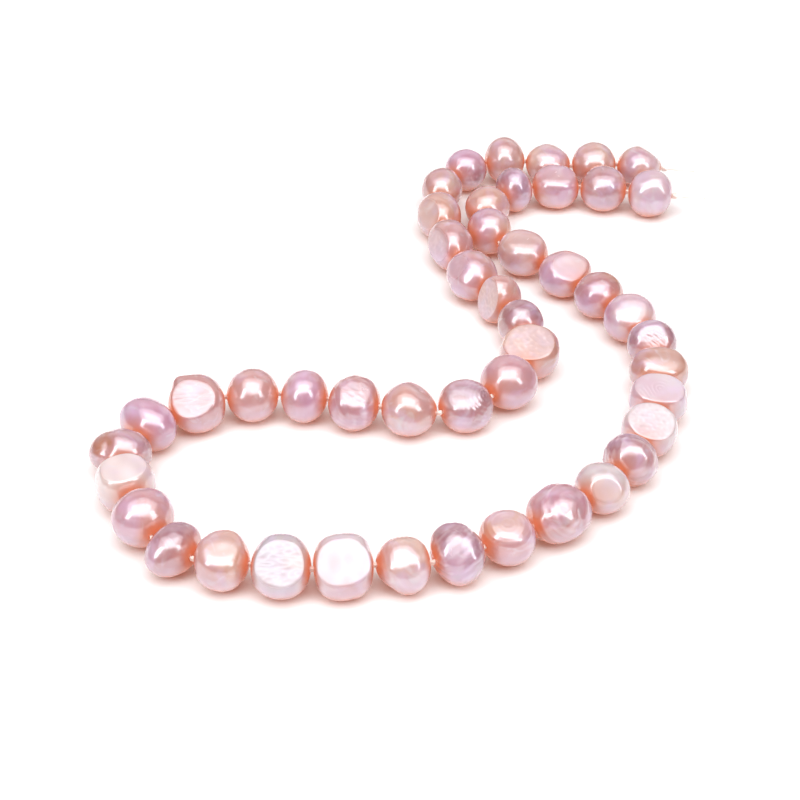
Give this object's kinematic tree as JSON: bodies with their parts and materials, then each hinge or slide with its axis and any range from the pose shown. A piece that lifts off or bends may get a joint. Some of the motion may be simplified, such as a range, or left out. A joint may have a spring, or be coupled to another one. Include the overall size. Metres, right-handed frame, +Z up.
{
  "type": "pearl strand",
  "caption": "Unclasped strand of baroque freshwater pearls on a knotted silk thread, laid in a loop, for stringing into a necklace or bracelet.",
  "frame": {"origin": "on the surface the strand lies on, under the middle of its bounding box", "axes": "+Z up from that surface; +Y away from the viewer, along the strand's longest extent; +X to the viewer's right, the way both free ends point"},
  "size_m": [0.1016, 0.122, 0.0087],
  "materials": {
    "nacre_cream": "polished",
    "nacre_peach": "polished",
    "nacre_pink": "polished",
    "nacre_rose": "polished",
    "nacre_lilac": "polished",
    "nacre_mauve": "polished",
    "nacre_copper": "polished",
    "silk": "satin"
  },
  "bodies": {
    "thread_01": {"thread_01": "silk"},
    "thread_02": {"thread_02": "silk"},
    "thread_03": {"thread_03": "silk"},
    "thread_04": {"thread_04": "silk"},
    "thread_05": {"thread_05": "silk"},
    "thread_06": {"thread_06": "silk"},
    "thread_07": {"thread_07": "silk"},
    "thread_08": {"thread_08": "silk"},
    "thread_09": {"thread_09": "silk"},
    "thread_10": {"thread_10": "silk"},
    "thread_11": {"thread_11": "silk"},
    "thread_12": {"thread_12": "silk"},
    "thread_13": {"thread_13": "silk"},
    "pearl_01": {"pearl_01": "nacre_lilac"},
    "pearl_02": {"pearl_02": "nacre_mauve"},
    "pearl_03": {"pearl_03": "nacre_lilac"},
    "pearl_04": {"pearl_04": "nacre_mauve"},
    "pearl_05": {"pearl_05": "nacre_pink"},
    "pearl_06": {"pearl_06": "nacre_lilac"},
    "pearl_07": {"pearl_07": "nacre_cream"},
    "pearl_08": {"pearl_08": "nacre_pink"},
    "pearl_09": {"pearl_09": "nacre_copper"},
    "pearl_10": {"pearl_10": "nacre_lilac"},
    "pearl_11": {"pearl_11": "nacre_mauve"},
    "pearl_12": {"pearl_12": "nacre_copper"},
    "pearl_13": {"pearl_13": "nacre_pink"},
    "pearl_14": {"pearl_14": "nacre_peach"},
    "pearl_15": {"pearl_15": "nacre_mauve"},
    "pearl_16": {"pearl_16": "nacre_cream"},
    "pearl_17": {"pearl_17": "nacre_rose"},
    "pearl_18": {"pearl_18": "nacre_peach"},
    "pearl_19": {"pearl_19": "nacre_lilac"},
    "pearl_20": {"pearl_20": "nacre_cream"},
    "pearl_21": {"pearl_21": "nacre_pink"},
    "pearl_22": {"pearl_22": "nacre_peach"},
    "pearl_23": {"pearl_23": "nacre_pink"},
    "pearl_24": {"pearl_24": "nacre_mauve"},
    "pearl_25": {"pearl_25": "nacre_rose"},
    "pearl_26": {"pearl_26": "nacre_cream"},
    "pearl_27": {"pearl_27": "nacre_copper"},
    "pearl_28": {"pearl_28": "nacre_lilac"},
    "pearl_29": {"pearl_29": "nacre_pink"},
    "pearl_30": {"pearl_30": "nacre_rose"},
    "pearl_31": {"pearl_31": "nacre_pink"},
    "pearl_32": {"pearl_32": "nacre_peach"},
    "pearl_33": {"pearl_33": "nacre_pink"},
    "pearl_34": {"pearl_34": "nacre_peach"},
    "pearl_35": {"pearl_35": "nacre_lilac"},
    "pearl_36": {"pearl_36": "nacre_peach"},
    "pearl_37": {"pearl_37": "nacre_mauve"},
    "pearl_38": {"pearl_38": "nacre_peach"},
    "pearl_39": {"pearl_39": "nacre_pink"},
    "pearl_40": {"pearl_40": "nacre_pink"},
    "pearl_41": {"pearl_41": "nacre_peach"},
    "pearl_42": {"pearl_42": "nacre_rose"},
    "pearl_43": {"pearl_43": "nacre_lilac"},
    "pearl_44": {"pearl_44": "nacre_rose"},
    "pearl_45": {"pearl_45": "nacre_pink"},
    "pearl_46": {"pearl_46": "nacre_peach"},
    "pearl_47": {"pearl_47": "nacre_cream"}
  },
  "joints": [
    {"name": "bend_04_lift", "type": "hinge", "parent": "thread_02", "child": "thread_01", "pos_m": [0.01287, 0.04448, 0.00401], "axis": [0.7217, -0.6922, 0], "range_deg": [0, 20]},
    {"name": "bend_07_side", "type": "hinge", "parent": "thread_03", "child": "thread_02", "pos_m": [0.02038, 0.02148, 0.00391], "axis": [0, 0, 1], "range_deg": [-30, 0]},
    {"name": "bend_11_lift", "type": "hinge", "parent": "thread_04", "child": "thread_03", "pos_m": [0.03637, -0.00652, 0.00395], "axis": [0.9994, 0.0351, 0], "range_deg": [0, 20]},
    {"name": "bend_16_side", "type": "hinge", "parent": "thread_05", "child": "thread_04", "pos_m": [0.02187, -0.04202, 0.00383], "axis": [0, 0, 1], "range_deg": [-30, 0]},
    {"name": "bend_18_side", "type": "hinge", "parent": "thread_06", "child": "thread_05", "pos_m": [0.00688, -0.05252, 0.00411], "axis": [0, 0, 1], "range_deg": [-30, 0]},
    {"name": "bend_22_side", "type": "hinge", "parent": "thread_07", "child": "thread_06", "pos_m": [-0.02513, -0.05602, 0.00421], "axis": [0, 0, 1], "range_deg": [-20, 0]},
    {"name": "bend_26_side", "type": "hinge", "parent": "thread_07", "child": "thread_08", "pos_m": [-0.04612, -0.03502, 0.00411], "axis": [0, 0, 1], "range_deg": [0, 30]},
    {"name": "bend_29_side", "type": "hinge", "parent": "thread_08", "child": "thread_09", "pos_m": [-0.03163, -0.01752, 0.00417], "axis": [0, 0, 1], "range_deg": [0, 30]},
    {"name": "bend_33_lift", "type": "hinge", "parent": "thread_09", "child": "thread_10", "pos_m": [0.00137, -0.02152, 0.00409], "axis": [0.1487, -0.9889, 0], "range_deg": [0, 18]},
    {"name": "bend_36_lift", "type": "hinge", "parent": "thread_10", "child": "thread_11", "pos_m": [0.01688, -0.00102, 0.00415], "axis": [0.9908, 0.1353, 0], "range_deg": [0, 12]},
    {"name": "bend_40_side", "type": "hinge", "parent": "thread_11", "child": "thread_12", "pos_m": [0.00287, 0.03198, 0.00413], "axis": [0, 0, 1], "range_deg": [0, 30]},
    {"name": "bend_43_side", "type": "hinge", "parent": "thread_12", "child": "thread_13", "pos_m": [0.01087, 0.05648, 0.00415], "axis": [0, 0, 1], "range_deg": [0, 30]},
    {"name": "spin_01", "type": "hinge", "parent": "thread_01", "child": "pearl_01", "pos_m": [0.04487, 0.04398, 0.00413], "axis": [-0.9829, 0.1843, -0.005], "continuous": true},
    {"name": "spin_02", "type": "hinge", "parent": "thread_01", "child": "pearl_02", "pos_m": [0.03687, 0.04548, 0.00409], "axis": [-0.9734, 0.229, -0.0116], "continuous": true},
    {"name": "spin_03", "type": "hinge", "parent": "thread_01", "child": "pearl_03", "pos_m": [0.02838, 0.04748, 0.00399], "axis": [-1, 0, 0.0068], "continuous": true},
    {"name": "spin_04", "type": "hinge", "parent": "thread_01", "child": "pearl_04", "pos_m": [0.01937, 0.04748, 0.00405], "axis": [-0.9079, -0.4191, -0.0057], "continuous": true},
    {"name": "spin_05", "type": "hinge", "parent": "thread_02", "child": "pearl_05", "pos_m": [0.01287, 0.04448, 0.00401], "axis": [-0.3807, -0.9247, -0.0044], "continuous": true},
    {"name": "spin_06", "type": "hinge", "parent": "thread_02", "child": "pearl_06", "pos_m": [0.00937, 0.03598, 0.00397], "axis": [0.3807, -0.9246, 0.011], "continuous": true},
    {"name": "spin_07", "type": "hinge", "parent": "thread_02", "child": "pearl_07", "pos_m": [0.01287, 0.02748, 0.00407], "axis": [0.7808, -0.6246, -0.0169], "continuous": true},
    {"name": "spin_08", "type": "hinge", "parent": "thread_03", "child": "pearl_08", "pos_m": [0.02038, 0.02148, 0.00391], "axis": [0.6782, -0.7348, -0.0114], "continuous": true},
    {"name": "spin_09", "type": "hinge", "parent": "thread_03", "child": "pearl_09", "pos_m": [0.02637, 0.01498, 0.00381], "axis": [0.5407, -0.8411, 0.0097], "continuous": true},
    {"name": "spin_10", "type": "hinge", "parent": "thread_03", "child": "pearl_10", "pos_m": [0.03087, 0.00798, 0.00389], "axis": [0.5408, -0.8412, 0.0049], "continuous": true},
    {"name": "spin_11", "type": "hinge", "parent": "thread_03", "child": "pearl_11", "pos_m": [0.03537, 0.00098, 0.00393], "axis": [0.1322, -0.9912, 0.0027], "continuous": true},
    {"name": "spin_12", "type": "hinge", "parent": "thread_04", "child": "pearl_12", "pos_m": [0.03637, -0.00652, 0.00395], "axis": [-0.0624, -0.9978, 0.0227], "continuous": true},
    {"name": "spin_13", "type": "hinge", "parent": "thread_04", "child": "pearl_13", "pos_m": [0.03587, -0.01452, 0.00413], "axis": [-0.1961, -0.9805, 0.0106], "continuous": true},
    {"name": "spin_14", "type": "hinge", "parent": "thread_04", "child": "pearl_14", "pos_m": [0.03438, -0.02202, 0.00421], "axis": [-0.3713, -0.9282, -0.0226], "continuous": true},
    {"name": "spin_15", "type": "hinge", "parent": "thread_04", "child": "pearl_15", "pos_m": [0.03138, -0.02952, 0.00403], "axis": [-0.5239, -0.8513, -0.0292], "continuous": true},
    {"name": "spin_16", "type": "hinge", "parent": "thread_04", "child": "pearl_16", "pos_m": [0.02738, -0.03602, 0.00381], "axis": [-0.6757, -0.7372, 0.0025], "continuous": true},
    {"name": "spin_17", "type": "hinge", "parent": "thread_05", "child": "pearl_17", "pos_m": [0.02187, -0.04202, 0.00383], "axis": [-0.7999, -0.5999, 0.0142], "continuous": true},
    {"name": "spin_18", "type": "hinge", "parent": "thread_05", "child": "pearl_18", "pos_m": [0.01388, -0.04802, 0.00397], "axis": [-0.8411, -0.5407, 0.017], "continuous": true},
    {"name": "spin_19", "type": "hinge", "parent": "thread_06", "child": "pearl_19", "pos_m": [0.00688, -0.05252, 0.00411], "axis": [-0.9191, -0.3939, -0.0016], "continuous": true},
    {"name": "spin_20", "type": "hinge", "parent": "thread_06", "child": "pearl_20", "pos_m": [-0.00013, -0.05552, 0.0041], "axis": [-0.998, -0.0624, -0.0025], "continuous": true},
    {"name": "spin_21", "type": "hinge", "parent": "thread_06", "child": "pearl_21", "pos_m": [-0.00813, -0.05602, 0.00408], "axis": [-0.9929, -0.1168, 0.0204], "continuous": true},
    {"name": "spin_22", "type": "hinge", "parent": "thread_06", "child": "pearl_22", "pos_m": [-0.01663, -0.05702, 0.00425], "axis": [-0.9931, 0.1168, -0.0047], "continuous": true},
    {"name": "spin_23", "type": "hinge", "parent": "thread_07", "child": "pearl_23", "pos_m": [-0.02513, -0.05602, 0.00421], "axis": [-0.9823, 0.1842, -0.0348], "continuous": true},
    {"name": "spin_24", "type": "hinge", "parent": "thread_07", "child": "pearl_24", "pos_m": [-0.03313, -0.05452, 0.00393], "axis": [-0.832, 0.5547, 0.0112], "continuous": true},
    {"name": "spin_25", "type": "hinge", "parent": "thread_07", "child": "pearl_25", "pos_m": [-0.03913, -0.05052, 0.00401], "axis": [-0.4005, 0.9154, 0.0394], "continuous": true},
    {"name": "spin_26", "type": "hinge", "parent": "thread_07", "child": "pearl_26", "pos_m": [-0.04263, -0.04252, 0.00435], "axis": [-0.4227, 0.9058, -0.0293], "continuous": true},
    {"name": "spin_27", "type": "hinge", "parent": "thread_08", "child": "pearl_27", "pos_m": [-0.04612, -0.03502, 0.00411], "axis": [0.0623, 0.9974, -0.0353], "continuous": true},
    {"name": "spin_28", "type": "hinge", "parent": "thread_08", "child": "pearl_28", "pos_m": [-0.04562, -0.02702, 0.00383], "axis": [0.6755, 0.7369, 0.0248], "continuous": true},
    {"name": "spin_29", "type": "hinge", "parent": "thread_08", "child": "pearl_29", "pos_m": [-0.04013, -0.02102, 0.00403], "axis": [0.9246, 0.3807, 0.0154], "continuous": true},
    {"name": "spin_30", "type": "hinge", "parent": "thread_09", "child": "pearl_30", "pos_m": [-0.03163, -0.01752, 0.00417], "axis": [0.9931, 0.1168, -0.0071], "continuous": true},
    {"name": "spin_31", "type": "hinge", "parent": "thread_09", "child": "pearl_31", "pos_m": [-0.02312, -0.01652, 0.00411], "axis": [0.9806, -0.1961, 0.0026], "continuous": true},
    {"name": "spin_32", "type": "hinge", "parent": "thread_09", "child": "pearl_32", "pos_m": [-0.01562, -0.01802, 0.00413], "axis": [0.9701, -0.2425, 0.0049], "continuous": true},
    {"name": "spin_33", "type": "hinge", "parent": "thread_09", "child": "pearl_33", "pos_m": [-0.00762, -0.02002, 0.00417], "axis": [0.9864, -0.1644, -0.0089], "continuous": true},
    {"name": "spin_34", "type": "hinge", "parent": "thread_10", "child": "pearl_34", "pos_m": [0.00137, -0.02152, 0.00409], "axis": [0.8944, 0.4472, 0.0045], "continuous": true},
    {"name": "spin_35", "type": "hinge", "parent": "thread_10", "child": "pearl_35", "pos_m": [0.00937, -0.01752, 0.00413], "axis": [0.6246, 0.7808, 0.0148], "continuous": true},
    {"name": "spin_36", "type": "hinge", "parent": "thread_10", "child": "pearl_36", "pos_m": [0.01537, -0.01002, 0.00427], "axis": [0.1644, 0.9863, -0.0133], "continuous": true},
    {"name": "spin_37", "type": "hinge", "parent": "thread_11", "child": "pearl_37", "pos_m": [0.01688, -0.00102, 0.00415], "axis": [-0.4229, 0.9062, -0.0024], "continuous": true},
    {"name": "spin_38", "type": "hinge", "parent": "thread_11", "child": "pearl_38", "pos_m": [0.01337, 0.00648, 0.00413], "axis": [-0.5038, 0.8637, 0.0146], "continuous": true},
    {"name": "spin_39", "type": "hinge", "parent": "thread_11", "child": "pearl_39", "pos_m": [0.00988, 0.01248, 0.00423], "axis": [-0.4472, 0.8944, 0], "continuous": true},
    {"name": "spin_40", "type": "hinge", "parent": "thread_11", "child": "pearl_40", "pos_m": [0.00537, 0.02148, 0.00423], "axis": [-0.2316, 0.9728, -0.0094], "continuous": true},
    {"name": "spin_41", "type": "hinge", "parent": "thread_12", "child": "pearl_41", "pos_m": [0.00287, 0.03198, 0.00413], "axis": [-0.0995, 0.9949, -0.0141], "continuous": true},
    {"name": "spin_42", "type": "hinge", "parent": "thread_12", "child": "pearl_42", "pos_m": [0.00187, 0.04198, 0.00399], "axis": [0.2676, 0.9635, -0.0043], "continuous": true},
    {"name": "spin_43", "type": "hinge", "parent": "thread_12", "child": "pearl_43", "pos_m": [0.00438, 0.05098, 0.00395], "axis": [0.7632, 0.6458, 0.0238], "continuous": true},
    {"name": "spin_44", "type": "hinge", "parent": "thread_13", "child": "pearl_44", "pos_m": [0.01087, 0.05648, 0.00415], "axis": [0.998, 0.0624, -0.0126], "continuous": true},
    {"name": "spin_45", "type": "hinge", "parent": "thread_13", "child": "pearl_45", "pos_m": [0.01887, 0.05698, 0.00405], "axis": [0.9846, -0.1738, -0.0188], "continuous": true},
    {"name": "spin_46", "type": "hinge", "parent": "thread_13", "child": "pearl_46", "pos_m": [0.02738, 0.05548, 0.00389], "axis": [0.9982, 0.0587, 0.0119], "continuous": true},
    {"name": "spin_47", "type": "hinge", "parent": "thread_13", "child": "pearl_47", "pos_m": [0.03587, 0.05598, 0.00399], "axis": [0.9848, -0.1738, -0.007], "continuous": true}
  ]
}
